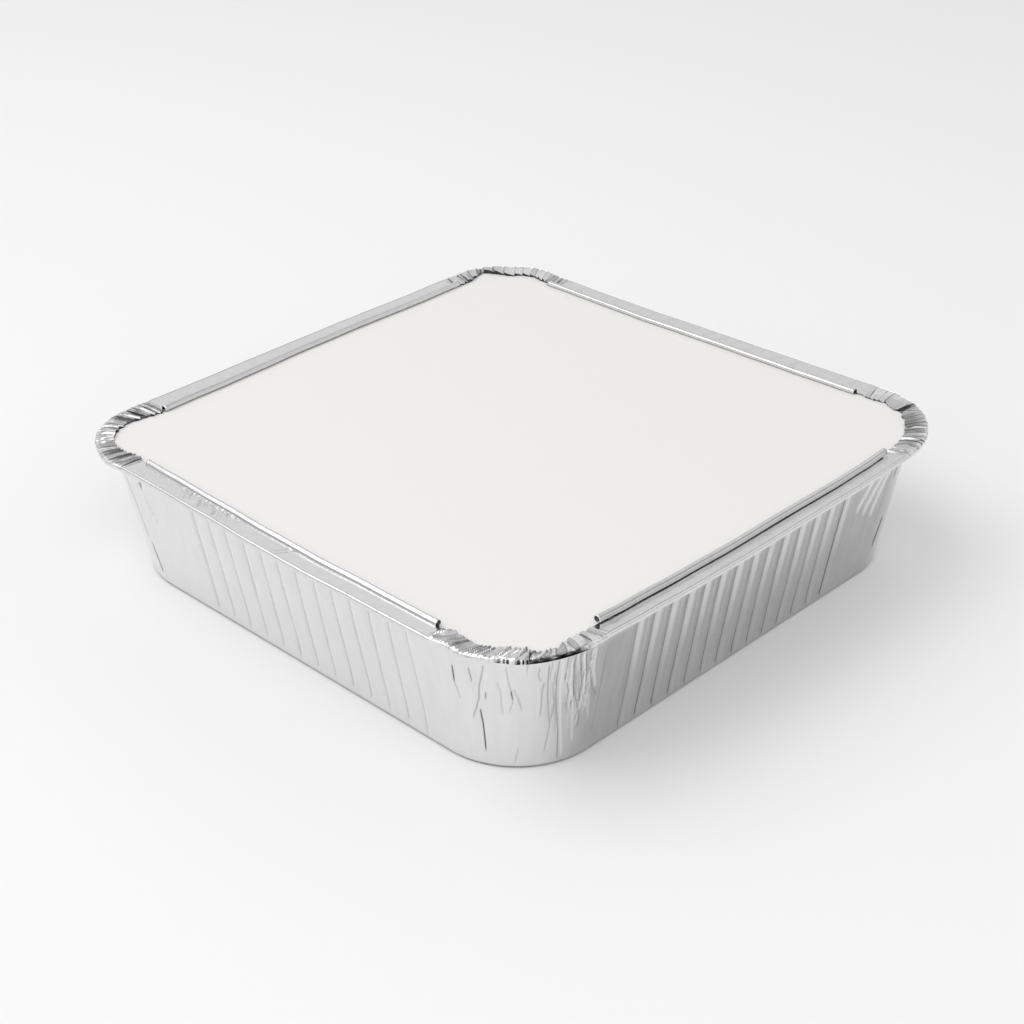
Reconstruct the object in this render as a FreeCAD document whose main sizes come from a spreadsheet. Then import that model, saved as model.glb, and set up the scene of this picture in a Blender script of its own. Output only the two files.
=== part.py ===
import FreeCAD, Part
import math
import os

import Sketcher

# Foil food container: a square tray pressed from one sheet of foil, and the plain
# board lid that its rim is folded over. The origin is the middle of the base's
# underside, +Z is up, and the walls face along X and Y. Sizes are in millimetres.

# Driving sizes: name, value, and what the size is.
SIZES = [
    ("foil", 0.1, "thickness of the foil"),
    ("base_width", 205.8, "across the base, where the wall planes meet the table"),
    ("base_corner", 30.2, "plan radius of the base's corners"),
    ("base_bend", 3.0, "radius of the bend between base and wall"),
    ("wall_taper", 10.6, "lean of the walls from upright, in degrees"),
    ("ledge_height", 49.4, "from the table to the underside of the ledge"),
    ("ledge", 2.85, "how far the rim stands out past the wall's top"),
    ("rim_corner", 32.7, "plan radius of the rim's corners"),
    ("fold_height", 1.6, "height of the folded edge, outside to outside"),
    ("fold_bend", 0.3, "size of the fold's lower and upper bends"),
    ("fold_seam", 1.0, "width of flat ledge that continues each folded length"),
    ("lip", 7.6, "from the rim's outermost line to the middle of the bead"),
    ("bead", 2.3, "outside diameter of the rolled bead"),
    ("bead_turn", 290.0, "how far the bead is rolled round, in degrees"),
    ("bead_length", 148.0, "length of each of the four beads"),
    ("corner_lip", 8.0, "width of the gathered lip at the corners"),
    ("pleats", 16, "pleats gathered at each corner"),
    ("pleat_rise", 0.7, "height of a pleat's crest over its foot"),
    ("flute_depth", 0.6, "depth of a flute at the top of the wall"),
    ("flute_steep", 0.8, "width of a flute's steep side, at the top of the wall"),
    ("flute_gentle", 2.6, "width of a flute's gentle side, at the top of the wall"),
    ("flute_start", 4.0, "height at which the flutes begin"),
    ("right_flutes", 14, "flutes in the right wall, and in the left one"),
    ("right_pitch", 8.24, "from flute to flute in the right and left walls"),
    ("right_first", -58.9, "place of the right wall's first flute along Y"),
    ("front_flutes", 13, "flutes in the front wall, and in the back one"),
    ("front_pitch", 8.87, "from flute to flute in the front and back walls"),
    ("front_first", -44.1, "place of the front wall's first flute along X"),
    ("lid_thickness", 0.5, "thickness of the board"),
    ("lid_gap", 0.9, "from the lid's edge to the inside of the folded rim"),
    ("lid_play", 0.05, "from the board up to the lip that holds it"),
]

# Sizes worked out from the driving ones: name and formula.
DERIVED = [
    ("base_half", "=sizes.base_width / 2"),
    ("wall_slope", "=tan(sizes.wall_taper * 1deg)"),
    ("wall_inset", "=sizes.foil / cos(sizes.wall_taper * 1deg)"),
    ("wall_top", "=base_half + sizes.ledge_height * wall_slope"),
    ("flute_height", "=sizes.ledge_height - sizes.flute_start"),
    ("rim_half", "=wall_top + sizes.ledge"),
    ("rim_centre", "=rim_half - sizes.rim_corner"),
    ("fold_inner_bend", "=sizes.fold_bend + sizes.foil * (sqrt(2) - 1)"),
    ("fold_top", "=sizes.ledge_height + sizes.fold_height"),
    ("ledge_top", "=sizes.ledge_height + sizes.foil"),
    ("ledge_seam", "=sizes.fold_bend + sizes.fold_seam"),
    ("ledge_trim", "=sizes.fold_bend + sizes.fold_seam / 2"),
    ("lid_top", "=ledge_top + sizes.lid_thickness"),
    ("lid_edge", "=sizes.foil + sizes.lid_gap"),
    ("lip_rest", "=lid_top + sizes.lid_play"),
]

# A rounded square is first drawn with this half width and corner radius, before
# its sizes are bound.
DRAWN_HALF = 100
DRAWN_CORNER = 30
# How far the inside form runs on above the ledge, so that it opens the tray.
CAVITY_OVERRUN = 2
# How many times a flute's true width and depth its section is drawn, so that
# the section reaches out past the wall.
FLUTE_REACH = 2
# Twist under which a facet's four corners count as lying in one plane.
FLAT_ENOUGH = 1e-6
# Share by which the flutes' volume may differ from the one their sizes give.
FLUTE_MARGIN = 0.2


def make_sheet(doc, name, rows):
    """Put each row's number or formula in a cell that has the row's name."""
    sheet = doc.addObject("Spreadsheet::Sheet", name)
    for line, row in enumerate(rows, start=1):
        sheet.set(f"A{line}", row[0])
        sheet.set(f"B{line}", str(row[1]))
        sheet.setAlias(f"B{line}", row[0])
        if len(row) > 2:
            sheet.set(f"C{line}", row[2])
    doc.recompute()
    return sheet


def origin_feature(body, role):
    """One of the body's own origin planes or axes."""
    return next(item for item in body.Origin.OriginFeatures if item.Role == role)


def level_sketch(body, name, offsets, turn=0):
    """An empty sketch in a level plane, moved by formulas and turned about Z."""
    sketch = body.newObject("Sketcher::SketchObject", name)
    sketch.AttachmentSupport = [(origin_feature(body, "XY_Plane"), "")]
    sketch.MapMode = "FlatFace"
    spin = FreeCAD.Rotation(FreeCAD.Vector(0, 0, 1), turn)
    sketch.AttachmentOffset = FreeCAD.Placement(FreeCAD.Vector(), spin)
    for axis, formula in offsets.items():
        sketch.setExpression(f"AttachmentOffset.Base.{axis}", formula)
    return sketch


def name_last(sketch, name, formula):
    """Name the sketch's newest constraint and bind it to a formula."""
    sketch.renameConstraint(sketch.ConstraintCount - 1, name)
    sketch.setExpression(f"Constraints.{name}", formula)


def rounded_square(body, name, height, half, corner):
    """A square outline about the origin with rounded corners."""
    sketch = level_sketch(body, name, {"z": height})
    flat = DRAWN_HALF - DRAWN_CORNER
    for side in range(4):
        spin = FreeCAD.Rotation(FreeCAD.Vector(0, 0, 1), 90 * side)
        start = spin.multVec(FreeCAD.Vector(-flat, -DRAWN_HALF, 0))
        end = spin.multVec(FreeCAD.Vector(flat, -DRAWN_HALF, 0))
        centre = spin.multVec(FreeCAD.Vector(flat, -flat, 0))
        circle = Part.Circle(centre, FreeCAD.Vector(0, 0, 1), DRAWN_CORNER)
        begin = math.radians(90 * side - 90)
        sketch.addGeometry(Part.LineSegment(start, end), False)
        sketch.addGeometry(Part.ArcOfCircle(circle, begin, begin + math.pi / 2), False)
    bottom, right, top, left = 0, 2, 4, 6
    for piece in range(8):
        sketch.addConstraint(Sketcher.Constraint("Tangent", piece, 2, (piece + 1) % 8, 1))
    for line in (bottom, top):
        sketch.addConstraint(Sketcher.Constraint("Horizontal", line))
    for line in (right, left):
        sketch.addConstraint(Sketcher.Constraint("Vertical", line))
    for corner_arc in (3, 5, 7):
        sketch.addConstraint(Sketcher.Constraint("Equal", 1, corner_arc))
    sketch.addConstraint(Sketcher.Constraint("Radius", 1, DRAWN_CORNER))
    name_last(sketch, "corner", corner)
    sides = [
        ("half_right", "DistanceX", (-1, 1, right, 1)),
        ("half_left", "DistanceX", (left, 1, -1, 1)),
        ("half_top", "DistanceY", (-1, 1, top, 1)),
        ("half_bottom", "DistanceY", (bottom, 1, -1, 1)),
    ]
    for label, kind, points in sides:
        sketch.addConstraint(Sketcher.Constraint(kind, *points, DRAWN_HALF))
        name_last(sketch, label, half)
    return sketch


def flute_section(body, name, offsets, turn):
    """A flute's level section: a lopsided V that opens outward from its valley."""
    sketch = level_sketch(body, name, offsets, turn)
    valley = FreeCAD.Vector(0, 0, 0)
    steep = FreeCAD.Vector(1, -1, 0)
    gentle = FreeCAD.Vector(1, 2, 0)
    for start, end in ((valley, steep), (steep, gentle), (gentle, valley)):
        sketch.addGeometry(Part.LineSegment(start, end), False)
    for line in range(3):
        sketch.addConstraint(Sketcher.Constraint("Coincident", line, 2, (line + 1) % 3, 1))
    sketch.addConstraint(Sketcher.Constraint("Coincident", 0, 1, -1, 1))
    sketch.addConstraint(Sketcher.Constraint("Vertical", 1))
    widths = [
        ("opening", "DistanceX", (-1, 1, 1, 1), 1, "flute_depth"),
        ("steep_side", "DistanceY", (1, 1, -1, 1), 1, "flute_steep"),
        ("gentle_side", "DistanceY", (-1, 1, 1, 2), 2, "flute_gentle"),
    ]
    for label, kind, points, drawn, size in widths:
        sketch.addConstraint(Sketcher.Constraint(kind, *points, drawn))
        name_last(sketch, label, f"sizes.{size} * {FLUTE_REACH}")
    return sketch


def flute_wall(body, wall, inset, top):
    """Press one row of flutes into a wall, and the same row into the wall opposite.

    A flute's valley leans a little less than the wall does, so the flute starts
    from nothing low on the wall and is deepest under the ledge.
    """
    sunk = f"sizes.flute_depth * (({top}) - sizes.flute_start) / derived.flute_height"
    surface = f"derived.base_half + ({top}) * derived.wall_slope - ({inset}) - {sunk}"
    lean = "(sizes.flute_depth / derived.flute_height - derived.wall_slope)"
    if wall == "right":
        turn = 0
        offsets = {"x": surface, "y": "sizes.right_first", "z": top}
        direction = {"x": lean, "y": "0"}
        row_axis = "Y_Axis"
    else:
        turn = -90
        offsets = {"x": "sizes.front_first", "y": f"-({surface})", "z": top}
        direction = {"x": "0", "y": f"-{lean}"}
        row_axis = "X_Axis"
    flute = body.newObject("PartDesign::Pocket", f"{body.Name}_{wall}_flute")
    flute.Profile = flute_section(body, f"{body.Name}_{wall}_valley", offsets, turn)
    flute.UseCustomVector = True
    flute.Direction = FreeCAD.Vector(0, 0, -1)
    for axis, formula in direction.items():
        flute.setExpression(f"Direction.{axis}", formula)
    flute.AlongSketchNormal = True
    flute.setExpression("Length", top)

    pattern = body.newObject("PartDesign::MultiTransform", f"{body.Name}_{wall}_flutes")
    pattern.Originals = [flute]
    row = body.newObject("PartDesign::LinearPattern", f"{body.Name}_{wall}_row")
    row.Direction = (origin_feature(body, row_axis), [""])
    row.setExpression("Length", f"sizes.{wall}_pitch * (sizes.{wall}_flutes - 1)")
    row.setExpression("Occurrences", f"sizes.{wall}_flutes")
    opposite = body.newObject("PartDesign::PolarPattern", f"{body.Name}_{wall}_opposite")
    opposite.Axis = (origin_feature(body, "Z_Axis"), [""])
    opposite.Angle = 360
    opposite.Occurrences = 2
    pattern.Transformations = [row, opposite]
    body.Tip = pattern


def pressed_form(doc, name, inset, floor, top, bend):
    """A solid of the tray's form, with its base's bend and its fluted walls.

    The inset moves its walls in, which makes the form of the tray's inside.
    """
    body = doc.addObject("PartDesign::Body", name)
    spread = f"({floor}) * derived.wall_slope - ({inset})"
    outline = rounded_square(
        body,
        f"{name}_base",
        floor,
        f"derived.base_half + {spread}",
        f"sizes.base_corner + {spread}",
    )
    walls = body.newObject("PartDesign::Pad", f"{name}_walls")
    walls.Profile = outline
    walls.setExpression("Length", f"({top}) - ({floor})")
    walls.setExpression("TaperAngle", "sizes.wall_taper")
    doc.recompute()

    low = walls.Shape.BoundBox.ZMin
    edges = [
        f"Edge{number}"
        for number, edge in enumerate(walls.Shape.Edges, start=1)
        if edge.BoundBox.ZMax - low < 0.001
    ]
    rounding = body.newObject("PartDesign::Fillet", f"{name}_bend")
    rounding.Base = (walls, edges)
    rounding.setExpression("Radius", bend)
    body.Tip = rounding
    doc.recompute()

    flute_wall(body, "right", inset, top)
    flute_wall(body, "front", inset, top)
    return body


def plate(doc, name, height, thickness, half, corner):
    """A flat plate with rounded corners."""
    body = doc.addObject("PartDesign::Body", name)
    outline = rounded_square(body, f"{name}_outline", height, half, corner)
    pad = body.newObject("PartDesign::Pad", f"{name}_pad")
    pad.Profile = outline
    pad.setExpression("Length", thickness)
    body.Tip = pad
    return body


def arc(start, middle, end):
    """An edge along the arc through three points."""
    return Part.Arc(start, middle, end).toShape()


def fold_path(at, sizes, derived, top):
    """The folded edge's outside and inside, from the ledge's seam up to the lip."""
    bend = sizes.fold_bend
    inner = derived.fold_inner_bend
    foil = sizes.foil
    outside = [
        at(derived.ledge_seam, sizes.ledge_height),
        at(bend, sizes.ledge_height),
        at(0, sizes.ledge_height + bend),
        at(0, top - bend),
        at(bend, top),
    ]
    inside = [
        at(derived.ledge_seam, derived.ledge_top),
        at(inner, derived.ledge_top),
        at(foil, sizes.ledge_height + inner),
        at(foil, top - inner),
        at(inner, top - foil),
    ]
    return outside, inside


def lines(points):
    """Straight edges from point to point."""
    return [Part.makeLine(start, end) for start, end in zip(points, points[1:])]


def rim_length(doc, name, sizes, derived):
    """One straight length of rim: ledge, fold, lip and hollow bead, as one bent sheet.

    Drawn in the XZ plane, in from the rim's outermost line, and run along Y.
    """

    def at(inward, height):
        return FreeCAD.Vector(derived.rim_half - inward, 0, height)

    def on_roll(radius, degrees):
        angle = math.radians(degrees - 90)
        return at(sizes.lip + radius * math.cos(angle), middle + radius * math.sin(angle))

    roll = sizes.bead / 2
    inner_roll = roll - sizes.foil
    middle = derived.lip_rest + roll
    turn = sizes.bead_turn
    outside, inside = fold_path(at, sizes, derived, derived.fold_top)
    edges = lines(outside + [on_roll(inner_roll, 0)])
    edges.append(arc(on_roll(inner_roll, 0), on_roll(inner_roll, turn / 2), on_roll(inner_roll, turn)))
    edges += lines([on_roll(inner_roll, turn), on_roll(roll, turn)])
    edges.append(arc(on_roll(roll, turn), on_roll(roll, turn / 2), on_roll(roll, 0)))
    edges += lines([on_roll(roll, 0)] + inside[::-1] + outside[:1])
    section = doc.addObject("Part::Feature", f"{name}_section")
    section.Shape = Part.Face(Part.Wire(edges))
    length = doc.addObject("Part::Extrusion", name)
    length.Base = section
    length.DirMode = "Custom"
    length.Dir = FreeCAD.Vector(0, 1, 0)
    length.Solid = True
    length.Symmetric = True
    length.setExpression("LengthFwd", "sizes.bead_length")
    return length


def corner_place(distance, sizes, derived):
    """Where the rim's outermost line is at a distance along a pleated corner.

    The line starts at the end of the right side's bead, rounds the back right
    corner and ends at the back side's bead. Returns the point and the way inward.
    """
    centre = derived.rim_centre
    radius = sizes.rim_corner
    lead = centre - sizes.bead_length / 2
    sweep = radius * math.pi / 2
    along = min(max(distance - lead, 0), sweep)
    angle = along / radius
    outward = FreeCAD.Vector(math.cos(angle), math.sin(angle), 0)
    forward = FreeCAD.Vector(-math.sin(angle), math.cos(angle), 0)
    point = FreeCAD.Vector(centre, centre, 0) + outward * radius
    return point + forward * (distance - lead - along), outward * -1


def facets(first, second):
    """The strip of faces between two outlines: a flat four-sided one, or two triangles."""
    faces = []
    for a, b, c, d in zip(first, first[1:], second[1:], second):
        twist = (b - a).cross(d - a).dot(c - a)
        rings = [[a, b, c, d, a]] if abs(twist) < FLAT_ENOUGH else [[a, b, c, a], [a, c, d, a]]
        faces += [Part.Face(Part.makePolygon(ring)) for ring in rings]
    return faces


def pleated_corner(doc, name, sizes, derived):
    """The rim round one corner: its ledge, its fold and a lip gathered in pleats.

    Sections of the bent sheet stand square to the rim, with the lip's pleats
    alternately at their foot and at their crest.
    """
    lead = derived.rim_centre - sizes.bead_length / 2
    total = 2 * lead + sizes.rim_corner * math.pi / 2
    steps = 2 * int(sizes.pleats)
    sections = []
    for step in range(steps + 1):
        point, inward = corner_place(total * step / steps, sizes, derived)

        def at(reach, height):
            return point + inward * reach + FreeCAD.Vector(0, 0, height)

        rise = sizes.pleat_rise * (step % 2)
        outside, inside = fold_path(at, sizes, derived, derived.fold_top + rise / 2)
        rest = derived.lip_rest + rise
        lip_end = [at(sizes.corner_lip, rest + sizes.foil), at(sizes.corner_lip, rest)]
        sections.append(outside + lip_end + inside[::-1] + outside[:1])
    ends = [Part.Face(Part.makePolygon(outline)) for outline in (sections[0], sections[-1])]
    sides = [face for pair in zip(sections, sections[1:]) for face in facets(*pair)]
    corner = doc.addObject("Part::Feature", name)
    corner.Shape = Part.makeSolid(Part.makeShell(ends + sides))
    return corner


def foil_tray(doc, sizes, derived):
    """The tray: the pressed walls and ledge, and the rim folded round the ledge."""
    outside = pressed_form(
        doc, "outside_form", "0", "0", "derived.ledge_top", "sizes.base_bend"
    )
    inside = pressed_form(
        doc,
        "inside_form",
        "derived.wall_inset",
        "sizes.foil",
        f"derived.ledge_top + {CAVITY_OVERRUN}",
        "sizes.base_bend - sizes.foil",
    )
    ledge = plate(
        doc,
        "ledge_plate",
        "sizes.ledge_height",
        "sizes.foil",
        "derived.rim_half - derived.ledge_trim",
        "sizes.rim_corner - derived.ledge_trim",
    )
    block = doc.addObject("Part::Fuse", "pressed_block")
    block.Base = outside
    block.Tool = ledge
    shell = doc.addObject("Part::Cut", "pressed_shell")
    shell.Base = block
    shell.Tool = inside

    rim = []
    for side in range(4):
        place = FreeCAD.Placement(
            FreeCAD.Vector(), FreeCAD.Rotation(FreeCAD.Vector(0, 0, 1), 90 * side)
        )
        length = rim_length(doc, f"rim_length_{side}", sizes, derived)
        length.Placement = place
        corner = pleated_corner(doc, f"rim_corner_{side}", sizes, derived)
        corner.Placement = place
        rim += [length, corner]

    tray = doc.addObject("Part::MultiFuse", "foil_tray")
    tray.Shapes = [shell] + rim
    tray.Refine = True
    tray.Label = "foil_tray"
    return tray


def lid_board(doc):
    """The lid: plain board that lies on the ledge, inside the folded rim."""
    lid = plate(
        doc,
        "lid_board",
        "derived.ledge_top",
        "sizes.lid_thickness",
        "derived.rim_half - derived.lid_edge",
        "sizes.rim_corner - derived.lid_edge",
    )
    lid.Label = "lid_board"
    return lid


def check_flutes(doc, sizes, derived):
    """Stop if the flutes don't take from each form what their sizes say."""
    section = sizes.flute_depth * (sizes.flute_steep + sizes.flute_gentle) / 2
    flutes = 2 * (sizes.right_flutes + sizes.front_flutes)
    for name in ("outside_form", "inside_form"):
        form = doc.getObject(name).Shape
        run = form.BoundBox.ZMax - sizes.flute_start
        expected = flutes * section * run / 3 * (run / derived.flute_height) ** 2
        cut = doc.getObject(f"{name}_bend").Shape.Volume - form.Volume
        print(f"{name}: flutes take {cut:.0f} mm3, expected {expected:.0f} mm3")
        if abs(cut / expected - 1) > FLUTE_MARGIN:
            raise RuntimeError(f"{name}'s flutes aren't pressed in")


def check(doc, parts):
    """Stop if any object failed, or if a part isn't one sound solid."""
    for item in doc.Objects:
        if "Invalid" in item.State or "Error" in item.State:
            raise RuntimeError(f"{item.Name} failed: {item.State}")
    for part in parts:
        shape = part.Shape
        if shape.isNull() or not shape.isValid():
            raise RuntimeError(f"{part.Label} has no valid shape")
        if len(shape.Solids) != 1:
            raise RuntimeError(f"{part.Label} has {len(shape.Solids)} solids")
        box = shape.BoundBox
        print(
            f"{part.Label}: volume {shape.Volume:.1f} mm3, faces {len(shape.Faces)}, "
            f"X {box.XMin:.2f} to {box.XMax:.2f}, Y {box.YMin:.2f} to {box.YMax:.2f}, "
            f"Z {box.ZMin:.2f} to {box.ZMax:.2f}"
        )


def main():
    doc = FreeCAD.newDocument("foil_container")
    sizes = make_sheet(doc, "sizes", SIZES)
    derived = make_sheet(doc, "derived", DERIVED)
    parts = [foil_tray(doc, sizes, derived), lid_board(doc)]
    doc.recompute()
    check_flutes(doc, sizes, derived)
    check(doc, parts)
    os.makedirs("parts", exist_ok=True)
    for part in parts:
        part.Shape.exportStep(f"parts/{part.Label}.step")


main()
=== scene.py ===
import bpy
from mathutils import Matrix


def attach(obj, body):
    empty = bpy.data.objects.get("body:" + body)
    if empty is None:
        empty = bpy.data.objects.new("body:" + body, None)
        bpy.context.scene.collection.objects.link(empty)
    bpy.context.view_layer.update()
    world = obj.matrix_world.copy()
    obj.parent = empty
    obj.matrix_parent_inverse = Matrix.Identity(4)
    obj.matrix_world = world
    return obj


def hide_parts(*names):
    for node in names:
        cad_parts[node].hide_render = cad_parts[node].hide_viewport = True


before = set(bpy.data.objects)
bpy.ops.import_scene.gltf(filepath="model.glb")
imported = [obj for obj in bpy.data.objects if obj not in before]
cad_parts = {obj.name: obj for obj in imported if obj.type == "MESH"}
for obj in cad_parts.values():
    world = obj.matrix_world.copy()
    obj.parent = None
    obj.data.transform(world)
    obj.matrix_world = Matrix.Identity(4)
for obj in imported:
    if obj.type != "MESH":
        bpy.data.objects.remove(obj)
print("pieces in the packed model:", sorted(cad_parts))

# %% [markdown]
# # A foil food container
# This container is a square tray pressed from one sheet of foil, closed with a plain
# board lid. The tray's rim is folded up and in over the board: each side ends in a
# rolled bead, and each corner is gathered in pleats. The solid model has that form in
# plain, regular shapes. Here the foil gets what a hand and a press leave on it: fluted
# walls, creases, a rim that is not quite straight, and pleats that are all different.

import bpy
import numpy as np
from mathutils import Matrix

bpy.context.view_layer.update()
MM = 0.001

# %% [markdown]
# ## The camera
# The photograph looks down at one corner. A camera can be aimed at an empty, but an
# exact match needs its place and its three axes, so they are worked out from the angle
# round the tray, the angle above the table, a small tilt and the distance.

# %% Set up the camera
# Angles are in radians, and the distance and the two slides in millimetres.
AROUND, ABOVE, TILT = 0.78034, 0.51756, -0.01361
DISTANCE, SLIDE_ACROSS, SLIDE_UP = 713.78, 0.834, -13.779
FOCAL_PIXELS, FRAME_PIXELS, SENSOR = 1923.64, 1024, 36.0


def camera_axes(around, above, tilt):
    """The camera's right, up and backward directions, one in each row."""
    back = np.array([np.sin(around) * np.cos(above), -np.cos(around) * np.cos(above), np.sin(above)])
    right = np.array([np.cos(around), np.sin(around), 0.0])
    up = np.cross(back, right)
    c, s = np.cos(tilt), np.sin(tilt)
    return np.array([c * right + s * up, c * up - s * right, back])


axes = camera_axes(AROUND, ABOVE, TILT)
eye = (DISTANCE * axes[2] - SLIDE_ACROSS * axes[0] - SLIDE_UP * axes[1]) * MM
place = np.eye(4)
place[:3, :3] = axes.T
place[:3, 3] = eye

view = bpy.data.cameras.new("view")
view.sensor_width = SENSOR
view.lens = FOCAL_PIXELS / FRAME_PIXELS * SENSOR
view.clip_start = 0.01
camera = bpy.data.objects.new("camera", view)
bpy.context.scene.collection.objects.link(camera)
camera.matrix_world = Matrix(place.tolist())
bpy.context.scene.camera = camera
print("camera at", eye.round(3), "with a lens of", round(view.lens, 2), "mm")

# %% [markdown]
# ## Lamps and sky
# Foil has almost no colour of its own: it shows what is around it. The walls lean
# outward, so they mirror the floor close to the tray, and the rim mirrors the room
# behind it. An even white world would leave the pleats flat, so the sky is a band of
# light that is dimmer at the horizon and overhead. A soft lamp at the left throws the
# shadow, and a wide weak one near the camera keeps the floor pale against the walls.

# %% Light the scene
# Each band: height above the horizon, from 0 to 1, and brightness.
SKY_BANDS = [(0.0, 0.56), (0.2, 0.66), (0.40, 0.82), (0.62, 0.82), (1.0, 0.36)]
# Each lamp: name, place and width in metres, and power in watts.
KEY = ("soft_lamp", (-0.60, -0.64, 1.50), 1.5, 10.7)
FILL = ("wide_lamp", (1.0, -1.0, 1.5), 2.0, 7.9)


def add_lamp(name, place, size, power):
    """A square soft lamp that looks at the tray."""
    light = bpy.data.lights.new(name, "AREA")
    light.size = size
    light.energy = power
    lamp = bpy.data.objects.new(name, light)
    lamp.location = place
    lamp.rotation_euler = (-lamp.location).to_track_quat("-Z", "Y").to_euler()
    bpy.context.scene.collection.objects.link(lamp)


world = bpy.data.worlds.new("studio")
bpy.context.scene.world = world
world.use_nodes = True
sky_nodes, sky_links = world.node_tree.nodes, world.node_tree.links
sky_way = sky_nodes.new("ShaderNodeTexCoord")
height_up = sky_nodes.new("ShaderNodeSeparateXYZ")
bands = sky_nodes.new("ShaderNodeValToRGB")
for at, _ in SKY_BANDS[1:-1]:
    bands.color_ramp.elements.new(at)
for element, (at, bright) in zip(bands.color_ramp.elements, SKY_BANDS):
    element.position = at
    element.color = (bright, bright, bright, 1)
sky_links.new(sky_way.outputs["Generated"], height_up.inputs[0])
sky_links.new(height_up.outputs["Z"], bands.inputs["Fac"])
sky_links.new(bands.outputs["Color"], sky_nodes["Background"].inputs["Color"])
for lamp in (KEY, FILL):
    add_lamp(*lamp)
bpy.context.scene.view_settings.view_transform = "Standard"
print("sky bands", SKY_BANDS, "and lamps of", KEY[3], "and", FILL[3], "W")

# %% [markdown]
# ## Helpers for materials
# A material can be put together by hand in the shader editor. In a script it is shorter
# to have one function that adds a node and sets its inputs by name, and another that
# stretches a noise to the range that the shader needs.

# %% Write the helpers for materials


def new_material(name, color, metallic, roughness):
    """A material whose plain values sit on the shader's own sockets."""
    material = bpy.data.materials.new(name)
    material.use_nodes = True
    shader = material.node_tree.nodes["Principled BSDF"]
    shader.inputs["Base Color"].default_value = (*color, 1)
    shader.inputs["Metallic"].default_value = metallic
    shader.inputs["Roughness"].default_value = roughness
    return material


def node(material, kind, **inputs):
    """Add a node, and set or link the inputs that are named."""
    made = material.node_tree.nodes.new(kind)
    for key, value in inputs.items():
        socket = made.inputs[key.replace("_", " ")]
        if isinstance(value, bpy.types.NodeSocket):
            material.node_tree.links.new(value, socket)
        else:
            socket.default_value = value
    return made


def ramp(material, noise, low, high, start=0.3, end=0.7):
    """Stretch the middle of a noise, where nearly all of it lies, between two numbers."""
    made = node(material, "ShaderNodeMapRange", Value=noise)
    for key, value in zip(("From Min", "From Max", "To Min", "To Max"), (start, end, low, high)):
        made.inputs[key].default_value = value
    return made.outputs["Result"]


def connect(material, source, key):
    """Link a value into the material's shader."""
    shader = material.node_tree.nodes["Principled BSDF"]
    material.node_tree.links.new(source, shader.inputs[key])


print("helpers ready:", ", ".join(f.__name__ for f in (new_material, node, ramp, connect)))

# %% [markdown]
# ## Floor
# A sweep of white, matt paper, large enough that its edge stays out of the view that
# the photograph has. A plane from the Add menu would do as well. Its four corners are
# written out here so that its size and its place, just under the tray, can be read.

# %% Lay the floor
FLOOR_COLOR, FLOOR_SHEEN = (0.93, 0.93, 0.935), 0.1
FLOOR_HALF, FLOOR_DROP = 4.0, 0.0001
paper_floor = new_material("floor_paper", FLOOR_COLOR, 0.0, 0.9)
paper_floor.node_tree.nodes["Principled BSDF"].inputs["Specular IOR Level"].default_value = FLOOR_SHEEN
floor_mesh = bpy.data.meshes.new("floor")
floor_corners = [(x * FLOOR_HALF, y * FLOOR_HALF, 0) for x, y in ((-1, -1), (1, -1), (1, 1), (-1, 1))]
floor_mesh.from_pydata(floor_corners, [], [(0, 1, 2, 3)])
floor_mesh.materials.append(paper_floor)
floor = bpy.data.objects.new("floor", floor_mesh)
floor.location.z = -FLOOR_DROP
bpy.context.scene.collection.objects.link(floor)
print("floor is", 2 * FLOOR_HALF, "m wide")

# %% [markdown]
# ## Foil
# Rolled aluminium foil is a bright, slightly milky mirror. Its rolling leaves very fine
# lines in one direction, and handling leaves shallow dents. One soft noise, stretched
# along the sheet, varies how sharp the mirror is, and two fine bumps break its
# reflections. Light and shade are also painted into the foil's colour: the mesh passes
# on one number at each point, below zero a painted highlight, above zero painted shade,
# as in creases and gaps.

# %% Make the foil material
# Colours of the painted highlight, of plain foil and of the painted shade.
HIGHLIGHT_PAINT, PLAIN, SHADE_PAINT = (0.96, 0.96, 0.96, 1), (0.75, 0.75, 0.75, 1), (0.06, 0.06, 0.065, 1)
# Where plain foil lies on the way from the painted highlight, at 0, to the painted shade, at 1.
PLAIN_AT = 0.3
foil = new_material("rolled_foil", PLAIN[:3], 1.0, 0.2)
place_on = node(foil, "ShaderNodeTexCoord").outputs["Object"]

grain_map = node(foil, "ShaderNodeMapping", Vector=place_on, Scale=(1.0, 1.0, 0.15))
grain = node(foil, "ShaderNodeTexNoise", Vector=grain_map.outputs["Vector"], Scale=260.0, Detail=3.0)
dents = node(foil, "ShaderNodeTexNoise", Vector=place_on, Scale=55.0, Detail=2.0)
fine = node(foil, "ShaderNodeTexNoise", Vector=place_on, Scale=900.0, Detail=2.0)
connect(foil, ramp(foil, grain.outputs["Fac"], 0.14, 0.24), "Roughness")

shade = node(foil, "ShaderNodeAttribute")
shade.attribute_name = "shade"
streak_map = node(foil, "ShaderNodeMapping", Vector=place_on, Scale=(1.0, 1.0, 0.05))
streaks = node(foil, "ShaderNodeTexNoise", Vector=streak_map.outputs["Vector"], Scale=420.0, Detail=2.0)
mottle = node(foil, "ShaderNodeMath")
mottle.operation = "ADD"
foil.node_tree.links.new(shade.outputs["Fac"], mottle.inputs[0])
foil.node_tree.links.new(ramp(foil, streaks.outputs["Fac"], -0.03, 0.03), mottle.inputs[1])
tone = node(foil, "ShaderNodeValToRGB", Fac=mottle.outputs["Value"])
tone.color_ramp.elements.new(PLAIN_AT)
for element, color in zip(tone.color_ramp.elements, (HIGHLIGHT_PAINT, PLAIN, SHADE_PAINT)):
    element.color = color
connect(foil, tone.outputs["Color"], "Base Color")

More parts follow.
